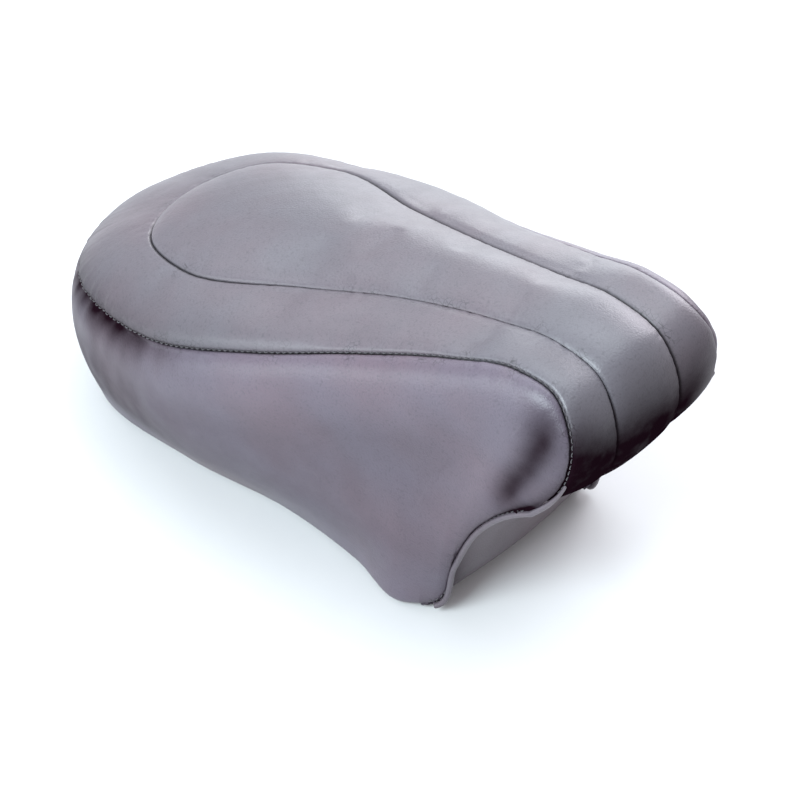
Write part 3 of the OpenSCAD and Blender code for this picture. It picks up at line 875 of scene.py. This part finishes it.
@dataclass
class Cover:
    """The sewn cover: insert, band, two side panels and the front facing."""

    form: PadForm
    wardrobe: Wardrobe
    cloth: ClothSettle = field(default_factory=ClothSettle)
    thickness_mm: float = 1.6
    fold_depth_mm: float = 1.5
    fold_width_mm: float = 0.75
    hem_turn_mm: float = 13.0
    tuck_mm: float = 2.0
    half_width_mm: float = 52.0
    rear_station: float = 8.8
    hollow_station: float = 2.3
    roll_mm: float = 6.4
    undercut_mm: float = 4.6
    hollow_mm: dict[str, float] = field(default_factory=lambda: {"left": 2.8, "right": 0.8})
    coarse: int = 4
    surfaces: dict[str, Surface] = field(default_factory=dict)

    def __post_init__(self) -> None:
        """Lays out the seam lines from the rails."""
        t = np.linspace(0.0, 10.0, 900)
        rails = self.form.rails

        def both(path: Array) -> Array:
            """Left half, then right half, as one path at even steps."""
            return even_path(np.concatenate([path * MIRROR, path[::-1][1:]]), 0.5 * MM)

        hem = rails["hem"].at(t)
        self.insert_seam = Seam(both(rails["insert_seam"].at(t)))
        self.shoulder_seam = Seam(both(rails["shoulder"].at(t)))
        self.front_edge = Seam(even_path(hem[t <= self.form.tip], 0.5 * MM))
        rear = self.form.cross(np.full(200, 10.0), np.linspace(2.0, 4.0, 200))
        self.rear_seam = Seam(even_path(rear, 0.5 * MM))

    def fold(self, distance: Array) -> Array:
        """Depth of the turned-in lip beside a seam: -depth * exp(-(d / width)^1.5)."""
        width = self.fold_width_mm * MM
        return -self.fold_depth_mm * MM * np.exp(-((distance / width) ** 1.5))

    def panel(self, name: str, grid: Array, outward: float, height: Array, seam: Array, soil: Array,
              slot: Slot) -> bpy.types.Object:
        """Turns a grid of points into a panel: cloth first, then the relief, then the thickness.

        Args:
            name: the piece's name.
            grid: (rows, cols, 3) points; rows - 1 and cols - 1 are multiples of the coarse step.
            outward: sign that turns the grid's cross product outwards.
            height: relief along the normal.
            seam: distance of each point from the nearest seam.
            soil: painted shade, 0 where none is painted, 1 where it is darkest, in recesses and under the
                nose.
            slot: the material slot.

        Returns:
            The panel.
        """
        step = self.coarse
        change = self.cloth.displacement(f"{name}_trial", grid[::step, ::step], outward)
        change = upsampled(upsampled(change, step, 0), step, 1)
        ease = smooth_step(seam, 0.5 * MM, 6 * MM)[..., None]
        LOG.info("%s: cloth moved up to %.2f mm", name, 1000 * np.linalg.norm(change, axis=-1).max())
        grid = grid + change * ease
        raised = grid + height[..., None] * grid_normals(grid, outward)
        self.surfaces[name] = Surface(raised, grid_normals(raised, outward))
        faces = grid_faces(grid.shape[0], grid.shape[1], flip=outward < 0)
        piece = add_mesh(f"{name}_cover", raised.reshape(-1, 3), faces, seam=seam, soil=np.clip(soil, 0, 1))
        thicken(piece, self.thickness_mm * MM)
        self.wardrobe.dress(piece, slot)
        return piece

    @staticmethod
    def creases(distance: Array, along: Array, seed: int, count: int = 16) -> Array:
        """Short pressed creases square to a seam.

        Args:
            distance: distance from the seam.
            along: distance walked along the seam.
            seed: seed of their places, depths and lengths.
            count: number of creases.

        Returns:
            The sum of -depth * exp(-((along - place) / width)^2) * exp(-(distance / length)^2).
        """
        rng = np.random.default_rng(seed)
        total = np.zeros(distance.shape)
        for place, depth, length, lean in zip(rng.uniform(0.05, 0.75, count), rng.uniform(0.2, 0.6, count),
                                              rng.uniform(6, 20, count), rng.uniform(-0.25, 0.25, count)):
            across = (along - place - lean * distance) / (1.1 * MM)
            total -= depth * MM * np.exp(-(across**2)) * np.exp(-((distance / (length * MM)) ** 2))
        return total

    @staticmethod
    def shade_under_nose(t: Array) -> Array:
        """Painted shade under the nose: 0.98 at the front edge, gone above station 3.1."""
        return 0.98 * (1.0 - smooth_step(t, 1.35, 3.1))

    @staticmethod
    def slack(t: Array, across: Array) -> Array:
        """Slack of the insert seam: 1 in the left flank's soft valley, -0.5 where the right pulls in."""
        left = smooth_step(t, 2.0, 3.6) * (1.0 - smooth_step(t, 6.6, 8.0)) * smooth_step(-across, 0.0, 8 * MM)
        return left - 0.5 * smooth_step(across, 0.0, 12 * MM) * smooth_step(t, 0.6, 1.6)

    @staticmethod
    def hidden(t: Array, across: Array) -> Array:
        """1 along the right flank's shoulder seam, which is pressed flat."""
        return smooth_step(t, 1.2, 2.2) * (1.0 - smooth_step(t, 6.6, 8.0)) * smooth_step(across, 0.0, 8 * MM)

    def insert_panel(self) -> bpy.types.Object:
        """The keyhole insert: parabola rows, softly crowned, folded in at its seam."""
        closing = 8.0 + 1.998 * np.sin(np.linspace(0, np.pi / 2, 97))
        t = np.concatenate([np.linspace(0.0, 8.0, 257), closing[1:]])
        u = 2.0 * eased(85, 0.5) - 1.0
        grid = self.form.insert(t[:, None], u[None, :])
        edge, along = self.insert_seam.near(grid)
        swell = 0.4 * MM * Wander(11, 70 * MM)(grid[..., 1], grid[..., 0]) * (1.0 - np.exp(-edge / (12 * MM)))
        slack = self.slack(t[:, None], grid[..., 0])
        height = (1.3 * MM * (1.0 - np.exp(-edge / (5 * MM))) + swell + self.fold(edge) * (1.0 - 0.75 * slack)
                  + Ripple(3, 0.34, 7, 7)(edge, along))
        # painted shade under the nose
        under = self.shade_under_nose(t[:, None]) * np.ones_like(edge)
        piece = self.panel("insert_panel", grid, -1.0, height, edge + 0.7 * MM * slack, under, Slot.VINYL)
        return finish_piece(piece, "insert_panel")

    def top_band(self) -> bpy.types.Object:
        """The U-shaped band between the insert seam and the shoulder seam."""
        half = np.concatenate([np.linspace(0.0, 8.0, 241), np.linspace(8.0, 10.0, 113)[1:]])
        v = 1.0 + eased(61, 0.5)
        right = self.form.cross(half[:, None], v[None, :])
        left = right * MIRROR
        grid = np.concatenate([left, right[::-1][1:]])
        stations = np.concatenate([half, half[::-1][1:]])[:, None]
        inner, inner_along = self.insert_seam.near(grid)
        outer, outer_along = self.shoulder_seam.near(grid)
        fullness = (2.0 + 1.4 * hump(stations, 7.2, 1.1) - 1.5 * smooth_step(stations, 8.2, 9.3)) * MM
        full = fullness * (1.0 - np.exp(-inner / (8 * MM))) * (1.0 - np.exp(-outer / (5 * MM)))
        away = 1.0 - np.exp(-np.minimum(inner, outer) / (9 * MM))
        swell = 0.5 * MM * Wander(21, 45 * MM)(outer_along, outer) * away
        rear = hump(stations, 8.6, 1.1)
        slack = self.slack(stations, grid[..., 0])
        hidden = self.hidden(stations, grid[..., 0])
        folds = self.fold(inner) * (1.0 - 0.75 * slack) + self.fold(outer) * (1.0 - 0.75 * hidden)
        puckers = Ripple(5, 0.4, 6, 7)(inner, inner_along) + Ripple(6, 0.35, 7, 9)(outer, outer_along)
        height = full + swell + folds + puckers + rear * Ripple(7, 1.5, 10, 9)(outer, outer_along)
        # painted shade: under the nose, fading towards the outer edge, and in the rear undercut beside the
        # shoulder seam
        shade_fade = 1.0 - 0.45 * smooth_step(grid[..., 0], 24 * MM, 46 * MM)
        soil = self.shade_under_nose(stations) * shade_fade + 0.75 * rear * np.exp(-outer / (8 * MM))
        seam = np.minimum(inner + 0.7 * MM * slack, outer + 0.7 * MM * hidden)
        piece = self.panel("top_band", grid, 1.0, height, seam, soil, Slot.VINYL)
        return finish_piece(piece, "top_band")

    def side_rows(self) -> Array:
        """Station numbers of the side panel's rows."""
        flank, rear = np.linspace(5.4, 9.0, 89), np.linspace(9.0, 10.0, 73)
        return np.concatenate([np.linspace(0.0, 5.4, 169), flank[1:], rear[1:]])

    def side_grid(self) -> Array:
        """Right side panel: wall from shoulder to hem, a rounded lower corner and the turned-in hem."""
        t = self.side_rows()
        v = 2.0 + 1.94 * (0.4 * eased(85, 0.6) + 0.6 * np.linspace(0, 1, 85))
        wall = self.form.cross(t[:, None], v[None, :])
        low = self.form.rails["hem"].at(t)[:, None]
        under = smooth_step(t, self.form.tip - 0.1, self.form.tip + 0.6)[:, None]
        inward = unit((1 - under) * np.array([-1.0, 0.25, 0.0]) + under * self.form.hem_inward(t))[:, None]
        turn = (2.5 + (self.hem_turn_mm - 2.5) * under)[..., None] * MM
        bend = np.minimum(turn, 3 * MM)
        s = np.linspace(0.0, 1.0, 9)[None, 1:, None]
        corner = (1 - s) ** 2 * wall[:, -1:] + 2 * s * (1 - s) * low + s**2 * (low + inward * bend)
        flat = low + inward * (bend + (turn - bend) * np.linspace(0, 1, 5)[None, 1:, None])
        return np.concatenate([wall, corner, flat], axis=1)

    def side_panel(self, side: str) -> bpy.types.Object:
        """One side panel.

        Args:
            side: left or right.

        Returns:
            The panel.
        """
        mirror = SIDES[side]
        sign = mirror[0]
        seed = {"left": 30, "right": 60}[side]
        right = self.side_grid()
        t = self.side_rows()[:, None]
        top, along = self.shoulder_seam.near(right)
        front, front_along = self.front_edge.near(right)
        rear, _ = self.rear_seam.near(right)
        column = np.arange(right.shape[1])[None, :]
        wall_part = 1.0 - smooth_step(column, 62, 84)
        skirt = t < self.form.tip
        at_rear = np.minimum(1.0, 1.35 * hump(t, self.rear_station, 0.9))
        roll = self.roll_mm * MM * (1.0 - np.exp(-top / (12 * MM))) * np.exp(-top / (75 * MM))
        roll = roll * (1 - 0.85 * at_rear) * wall_part
        roll = roll * (0.35 * smooth_step(t, 0.6, 2.0) + 0.65 * smooth_step(t, 3.5, 5.5))
        tucked = np.minimum(top / (3 * MM), 1.0) * np.exp(-((top / (11 * MM)) ** 2))
        undercut = -self.undercut_mm * MM * at_rear * tucked
        hollow = hump(t, self.hollow_station, 0.75) * hump(top, 14 * MM, 12 * MM)
        dimple = -self.hollow_mm[side] * MM * hollow
        gathers = Ripple(seed, 0.4, 9, 9)(top, along) + at_rear * Ripple(seed + 1, 1.0, 12, 11)(top, along)
        swell = 0.6 * MM * Wander(seed + 7, 60 * MM)(along, top) * (1 - np.exp(-top / (15 * MM))) * wall_part
        edge = Ripple(seed + 9, 0.3, 8, 9)(front, front_along) * skirt
        crumple = hump(t, 0.8, 0.6) * np.exp(-np.minimum(front, 20 * MM) / (8 * MM))
        nose = 1.0 * MM * Wander(seed + 3, 7 * MM)(front_along, front) * crumple
        creases = self.creases(top, along, seed + 2)
        hidden = self.hidden(t, right[..., 0] * sign)
        folds = self.fold(top) * (1.0 - 0.75 * hidden) + self.fold(rear)
        height = roll + undercut + dimple + gathers + swell + edge + nose + folds + creases
        seam = np.minimum(top + 0.7 * MM * hidden, rear)
        seam = np.minimum(seam, np.where(skirt, front + 0.4 * MM, 1.0))
        # painted shade: in the rear undercut below the shoulder seam, in the hollow by the nose, under the
        # nose, along the front edge, and darker towards the bottom of the wall
        patchy = 0.85 + 0.35 * Wander(seed + 5, 20 * MM)(along, top)
        soil = at_rear * (0.85 * np.exp(-((top / (12 * MM)) ** 2)) + 0.36 * wall_part) * patchy
        soil = soil + 0.85 * hollow + 0.7 * hump(t, 0.8, 0.7) * np.exp(-np.minimum(top, front) / (8 * MM))
        lower = smooth_step(top, 14 * MM, 42 * MM) * (0.45 + 0.55 * smooth_step(t, 3.8, 5.0)) * wall_part
        soil = soil + 0.2 * lower + 0.75 * hump(t, 0.4, 0.9) * np.exp(-front / (10 * MM))
        soil = soil + 0.45 * np.exp(-front / (4 * MM)) * skirt
        piece = self.panel(f"side_panel_{side}", right * mirror, -sign, height, seam, soil, Slot.SIDE)
        return finish_piece(piece, f"side_panel_{side}")

    def nose_edge(self, across: Array) -> Array:
        """Points of the nose's lower edge at given places across the pad."""
        u = np.linspace(0.0, 1.0, 40)
        half = np.concatenate([self.form.insert(np.zeros(40), u), self.form.cross(np.zeros(40), 1.0 + u)])
        x = np.maximum.accumulate(half[:, 0])
        return np.stack([across] + [np.interp(np.abs(across), x, half[:, k]) for k in (1, 2)], axis=-1)

    def front_facing(self) -> bpy.types.Object:
        """The recessed facing under the nose, turned in under the pan at its foot."""
        t = np.linspace(0.0, self.form.tip, 109)
        u = 2.0 * eased(97, 0.4) - 1.0
        grid = self.form.facing(t[:, None], u[None, :])
        grid[..., 0] *= 1.0 + self.tuck_mm / self.half_width_mm
        lip = self.nose_edge(grid[0, :, 0]) + np.array([0.0, 0.8, 1.0]) * MM
        s = np.linspace(0.0, 1.0, 9)[:-1, None, None]
        grid = np.concatenate([(1 - s) * lip + s * grid[:1], grid])
        back = self.hem_turn_mm * MM * np.linspace(0, 1, 9)[1:, None, None]
        foot = grid[-1:] + np.array([0.0, 1.0, 0.0]) * back
        grid = np.concatenate([grid, foot])
        rows = np.linspace(0.0, 1.0, len(grid))[:, None]
        left, along = Seam(self.front_edge.path * MIRROR).near(grid)
        right, _ = self.front_edge.near(grid)
        edge = np.minimum(left, right)
        body = 1 - smooth_step(rows, 0.8, 0.93)
        folds = 0.8 * MM * Wander(71, 26 * MM)(along, grid[..., 0]) * (1 - np.exp(-edge / 0.008)) * body
        below = smooth_step(rows, 0.02, 0.09)
        top = 1.4 * MM * Wander(72, 9 * MM)(grid[..., 0], along) * np.exp(-rows / 0.14) * below
        gathers = (Ripple(73, 0.4, 8, 7)(left, along) + Ripple(74, 0.4, 8, 7)(right, along)) * body * below
        height = folds * below + top + gathers * (1 - np.exp(-edge / (2 * MM)))
        # painted shade: along the facing's edges beside the welts and across its top rows under the nose
        soil = 0.85 * np.exp(-((edge / (11 * MM)) ** 2)) * smooth_step(rows, 0.06, 0.25)
        soil = np.maximum(soil, 0.9 * (1.0 - smooth_step(rows, 0.04, 0.09)))
        piece = self.panel("front_facing", grid, 1.0, height, edge + 0.3 * MM, soil, Slot.FACING)
        return finish_piece(piece, "front_facing")

    def build(self) -> None:
        """Builds the five panels."""
        self.insert_panel()
        self.top_band()
        for side in SIDES:
            self.side_panel(side)
        self.front_facing()


# ---- piping and stitching ----


@dataclass
class Piping:
    """The two gathered welts on the front edges of the side panels."""

    form: PadForm
    wardrobe: Wardrobe
    radius_mm: float = 1.45
    cord_mm: float = 0.8
    stand_off_mm: float = 1.5
    lead_in_mm: float = 26.0

    def lines(self, reach_mm: float) -> tuple[Array, Array]:
        """The welt's centre line on the right, and how far it has grown to its full size.

        Args:
            reach_mm: length over which the welt grows out of the nose's lower edge.

        Returns:
            (path, growth from 0 to 1).
        """
        t = np.linspace(0.15, 4.03, 420)
        low = self.form.rails["hem"].at(t)
        low[:, 2] += 2.0 * MM * np.maximum(0.0, t - 3.7)
        above = self.form.rails["shoulder"].at(np.linspace(0.95, 0.05, 90))
        path = even_path(np.concatenate([above, low]), 0.45 * MM)
        run = unit(np.gradient(path, axis=0))
        forward = unit(np.stack([np.zeros(len(path)), run[:, 2], -run[:, 1]], axis=1))
        grown = smooth_step(lengths_along(path, 0), 0.0, reach_mm * MM)
        return path + (0.9 + (self.stand_off_mm - 0.9) * grown)[:, None] * MM * forward, grown

    def tube(self, path: Array, radius: Array, name: str, slot: Slot, node: str) -> None:
        """A closed tube along a path, its ends rounded off."""
        walked = lengths_along(path, 0)
        ends = np.minimum(walked, walked[-1] - walked) / (self.radius_mm * MM)
        rounding = np.sqrt(np.clip(1 - (1 - np.clip(ends, 0, 1)) ** 2, 0.02, 1))
        piece = join_parts(name, [tube_mesh(path, radius * rounding, 16)])
        mark(piece.data, "seam", np.full(len(piece.data.vertices), 1.0))
        self.wardrobe.dress(piece, slot)
        finish_piece(piece, node)

    def build(self) -> None:
        """A gathered welt and its filler cord on each side."""
        for side, seed, slower in (("left", 81, 1.0), ("right", 82, 2.2)):
            path, grown = self.lines(slower * self.lead_in_mm)
            walked = lengths_along(path, 0)
            gather = 1.0 + 0.05 * Wander(seed, 6 * MM)(walked) + 0.03 * Wander(seed + 4, 2.2 * MM)(walked)
            size = (0.5 + 0.5 * grown) * MM
            placed = path * SIDES[side]
            cover, cord = f"front_welt_{side}", f"welt_cord_{side}"
            self.tube(placed, self.radius_mm * size * gather, f"{cover}_cover", Slot.WELT, cover)
            self.tube(placed[8:-8], self.cord_mm * size[8:-8], f"{cord}_core", Slot.CORD, cord)


@dataclass
class Stitching:
    """Rows of separate lockstitches laid on the finished panels."""

    form: PadForm
    cover: Cover
    wardrobe: Wardrobe
    thread_mm: float = 0.26
    pitch_mm: float = 3.4
    length_mm: float = 2.5
    row_offset_mm: float = 2.5
    rings: int = 6
    sides: int = 6

    def row(self, path: Array, normals: Array) -> tuple[Array, Array]:
        """One stitch every pitch along a path; each is a short arched tube.

        A stitch's centre line runs s from -1 to 1 as centre + s * length / 2 * along
        + rise * (1 - 1.7 s^2) * normal, with radius thread * sqrt(1 - 0.75 s^4).

        Args:
            path: (n, 3) points on the surface.
            normals: (n, 3) surface normals.

        Returns:
            (vertices, faces).
        """
        walked = lengths_along(path, 0)
        count = int(walked[-1] / (self.pitch_mm * MM))
        where = (np.arange(count) + 0.5) * walked[-1] / count
        centre = sampled(where, walked, path)
        normal = unit(sampled(where, walked, normals))
        along = unit(sampled(where + MM, walked, path) - sampled(where - MM, walked, path))
        across = unit(np.cross(along, normal))
        up = np.cross(across, along)
        s = np.linspace(-1.0, 1.0, self.rings)
        thread = self.thread_mm * MM
        line = (centre[:, None] + (s * self.length_mm * MM / 2)[None, :, None] * along[:, None]
                + (thread * (0.9 - 2.4 * s**2))[None, :, None] * up[:, None])
        angle = np.linspace(0, 2 * np.pi, self.sides, endpoint=False)
        size = thread * np.sqrt(1 - 0.75 * s**4)
        ring = line[:, :, None] + size[None, :, None, None] * (
            np.cos(angle)[None, None, :, None] * across[:, None, None]
            + np.sin(angle)[None, None, :, None] * up[:, None, None])
        one = capped_faces(self.rings, self.sides)
        starts = np.arange(count) * self.rings * self.sides
        return ring.reshape(-1, 3), (one[None] + starts[:, None, None]).reshape(-1, 4)

    def seam_rows(self) -> None:
        """Twin topstitching beside the insert seam, one row on the insert and one on the band."""
        seam = self.cover.insert_seam.path[24:-24:2]
        along = unit(np.gradient(seam, axis=0))
        parts = []
        for name, sign in (("insert_panel", -1.0), ("top_band", 1.0)):
            surface = self.cover.surfaces[name]
            _, normal = surface.settle(seam + 0.0, 0.0)
            side = unit(np.cross(along, normal)) * sign
            path, normal = surface.settle(seam + side * self.row_offset_mm * MM, 0.0)
            parts.append(self.row(path, normal))
        piece = join_parts("insert_topstitching", parts)
        self.wardrobe.dress(piece, Slot.THREAD)
        finish_piece(piece, "insert_topstitch")

    def closing_row(self, name: str, path: Array, normals: Array, node: str) -> None:
        """A single row that lies down in a seam."""
        piece = join_parts(name, [self.row(path, normals)])
        self.wardrobe.dress(piece, Slot.THREAD)
        finish_piece(piece, node)

    def build(self) -> None:
        """All four sewn lines."""
        self.seam_rows()
        band = self.cover.surfaces["top_band"]
        shoulder = self.cover.shoulder_seam.path[24:-24:2]
        path, normal = band.settle(shoulder, 0.35 * MM)
        path = path - 1.1 * MM * smooth_step(path[:, 0], 20 * MM, 40 * MM)[:, None] * normal
        self.closing_row("shoulder_seam_stitching", path, normal, "outer_seam_thread")
        rear = self.cover.rear_seam.path[4:-8]
        out = np.tile([0.0, 1.0, 0.0], (len(rear), 1))
        self.closing_row("rear_seam_stitching", rear - out * 0.9 * MM, out, "rear_seam_thread")
        parts = []
        for side, mirror in SIDES.items():
            t = np.linspace(0.5, self.form.tip - 0.25, 300)
            hem, wall = self.form.rails["hem"].at(t), self.form.rails["wall"].at(t)
            line = even_path((hem + 3.4 * MM * unit(wall - hem)) * mirror, MM)
            path, normal = self.cover.surfaces[f"side_panel_{side}"].settle(line, 0.0)
            parts.append(self.row(path, normal))
        piece = join_parts("welt_seam_stitching", parts)
        self.wardrobe.dress(piece, Slot.THREAD)
        finish_piece(piece, "welt_seam_thread")


# ---- padding ----


@dataclass
class Padding:
    """The foam core and the soft topper under the insert."""

    form: PadForm
    wardrobe: Wardrobe
    cover_mm: float = 1.6
    gap_mm: float = 0.9
    topper_mm: float = 8.0
    floor_mm: float = 12.4

    def foam_core(self) -> None:
        """Rings across the pad, each mirrored, offset inside the cover and flattened on the pan."""
        t = np.concatenate([np.linspace(0.4, 4.5, 60), np.linspace(4.55, 9.7, 100)])
        pocket = smooth_step(t, 2.7, 3.1) * (1 - smooth_step(t, 9.2, 9.5))
        front = np.array([0.12, 0.3, 0.5, 0.65, 0.8])
        climb = np.linspace(4.0, 1.1, 45)
        low = self.form.facing(t[:, None], front[None, :])
        side = self.form.cross(t[:, None], climb[None, :])
        u = np.array([1.0, 0.95, 0.9, 0.86, 0.75, 0.6, 0.45, 0.3, 0.12])
        top = self.form.insert(t[:, None], u[None, :])
        half = np.concatenate([low, side, top], axis=1)
        ring = np.concatenate([half, half[:, ::-1] * MIRROR], axis=1)
        wrapped = np.concatenate([ring[:, -1:], ring, ring[:, :1]], axis=1)
        normal = unit(np.cross(np.gradient(ring, axis=0), (wrapped[:, 2:] - wrapped[:, :-2])))
        tread = np.concatenate([np.zeros(len(front) + len(climb)), smooth_step(1 - u, 0.08, 0.2)])
        tread = np.concatenate([tread, tread[::-1]])[None, :] * pocket[:, None]
        v = np.concatenate([np.full(len(front), 4.0), climb, np.ones(len(u))])
        v = np.concatenate([v, v[::-1]])
        drawn = 4.5 * hump(t, 8.8, 1.1)[:, None] * hump(v, 2.3, 0.5)[None, :]
        depth = (self.cover_mm + self.gap_mm + tread * (self.topper_mm + 0.4) + drawn) * MM
        points = ring - depth[..., None] * normal
        points[..., 2] = np.maximum(points[..., 2], self.floor_mm * MM)
        piece = add_mesh("foam_core_block", points.reshape(-1, 3), capped_faces(*points.shape[:2]))
        self.wardrobe.dress(piece, Slot.FOAM)
        finish_piece(piece, "foam_core")

    def topper(self) -> None:
        """A lens between two grids; its thickness is full * (1 - a^8)(1 - b^8) towards its edges."""
        rows, cols = 110, 60
        t = np.linspace(3.0, 9.25, rows)
        u = np.linspace(-0.85, 0.85, cols)
        grid = self.form.insert(t[:, None], u[None, :])
        normal = grid_normals(grid, -1.0)
        a = np.linspace(-1.0, 1.0, rows)[:, None]
        b = np.linspace(-1.0, 1.0, cols)[None, :]
        thick = self.topper_mm * MM * np.sqrt(np.clip((1 - a**8) * (1 - b**8), 0, 1))
        upper = grid - normal * (self.cover_mm + self.gap_mm) * MM
        mid = upper - normal * (self.topper_mm * MM / 2)
        top = mid + normal * (thick / 2)[..., None]
        bottom = mid - normal * (thick / 2)[..., None]
        lower_faces = grid_faces(rows, cols, flip=False) + rows * cols
        faces = np.concatenate([grid_faces(rows, cols, flip=True), lower_faces])
        piece = add_mesh("topper_block", np.concatenate([top.reshape(-1, 3), bottom.reshape(-1, 3)]), faces)
        weld(piece, 0.05 * MM)
        self.wardrobe.dress(piece, Slot.TOPPER)
        finish_piece(piece, "topper_pad")

    def build(self) -> None:
        """Both foams."""
        self.foam_core()
        self.topper()


# ---- stage ----


@dataclass
class Studio:
    """Pale floor, soft light and the camera."""

    aim: tuple[float, float, float] = (0.04225, 0.01475, 0.0)
    azimuth_deg: float = -47.0
    elevation_deg: float = 42.0
    distance: float = 1.575
    lens_mm: float = 141.75
    world_strength: float = 0.74

    def camera(self) -> None:
        """Places the camera on its line of sight."""
        a, e = math.radians(self.azimuth_deg), math.radians(self.elevation_deg)
        back = np.array([math.sin(a) * math.cos(e), -math.cos(a) * math.cos(e), math.sin(e)])
        data = bpy.data.cameras.new("camera")
        data.lens = self.lens_mm
        data.sensor_width = 36.0
        data.clip_start = 0.05
        camera = bpy.data.objects.new("camera", data)
        camera.location = np.asarray(self.aim) + back * self.distance
        camera.rotation_euler = (math.pi / 2 - e, 0.0, a)
        bpy.context.scene.collection.objects.link(camera)
        bpy.context.scene.camera = camera

    def lamp(self, name: str, place: Sequence[float], size: float, power: float,
             tint: Sequence[float]) -> None:
        """Hangs one square area light that looks at the pad.

        Args:
            name: the lamp's name.
            place: its position.
            size: its side length.
            power: its power in watts.
            tint: its colour.
        """
        data = bpy.data.lights.new(name, "AREA")
        data.shape = "SQUARE"
        data.size = size
        data.energy = power
        data.color = tint
        lamp = bpy.data.objects.new(name, data)
        lamp.location = place
        direction = np.array([0.0, 0.0, 0.08]) - np.asarray(place, float)
        tilt = math.atan2(math.hypot(direction[0], direction[1]), -direction[2])
        lamp.rotation_euler = (tilt, 0.0, math.atan2(-direction[0], direction[1]))
        bpy.context.scene.collection.objects.link(lamp)

    def floor(self) -> None:
        """A pale floor that reaches far past the view."""
        points = np.array([[-6, -6, 0], [6, -6, 0], [6, 6, 0], [-6, 6, 0]], float)
        floor = add_mesh("floor", points, np.array([[0, 1, 2, 3]]))
        tree = Tree("pale_floor")
        speck = tree.noise(40.0, 3.0)
        floor.data.materials.append(tree.surface({
            "Base Color": tree.mix(speck, rgb(0.63, 0.63, 0.63), rgb(0.61, 0.61, 0.615)), "Roughness": 0.9}))

    def build(self) -> None:
        """Camera, floor, world and lamps."""
        self.camera()
        self.floor()
        world = bpy.data.worlds.new("studio")
        bpy.context.scene.world = world
        world.use_nodes = True
        background = world.node_tree.nodes["Background"].inputs
        background["Color"].default_value = (0.98, 0.95, 1.0, 1.0)
        background["Strength"].default_value = self.world_strength
        bpy.context.scene.view_settings.view_transform = "Standard"
        self.lamp("overhead", (0.26, 0.78, 1.42), 1.4, 13.0, (0.88, 0.96, 1.0))
        self.lamp("over_nose", (0.45, -0.20, 1.50), 1.0, 12.0, (0.86, 0.95, 1.0))
        self.lamp("left", (-1.35, -0.10, 1.25), 0.8, 42.0, (0.82, 0.95, 1.0))
        self.lamp("left_low", (-1.35, 0.75, 0.42), 0.7, 6.5, (0.86, 0.97, 1.0))
        self.lamp("right", (1.60, 0.05, 0.75), 1.0, 22.0, (0.96, 0.93, 1.0))
        self.lamp("far_low", (1.45, 0.95, 0.42), 0.9, 8.5, (0.92, 0.97, 1.0))


def main() -> None:
    """Builds the cushion in order."""
    logging.basicConfig(level=logging.INFO, format="%(message)s")
    Studio().build()
    form = PadForm()
    wardrobe = Wardrobe()
    wardrobe.dress_frame()
    cover = Cover(form, wardrobe)
    cover.build()
    Piping(form, wardrobe).build()
    Stitching(form, cover, wardrobe).build()
    Padding(form, wardrobe).build()


if __name__ == "__main__":
    main()
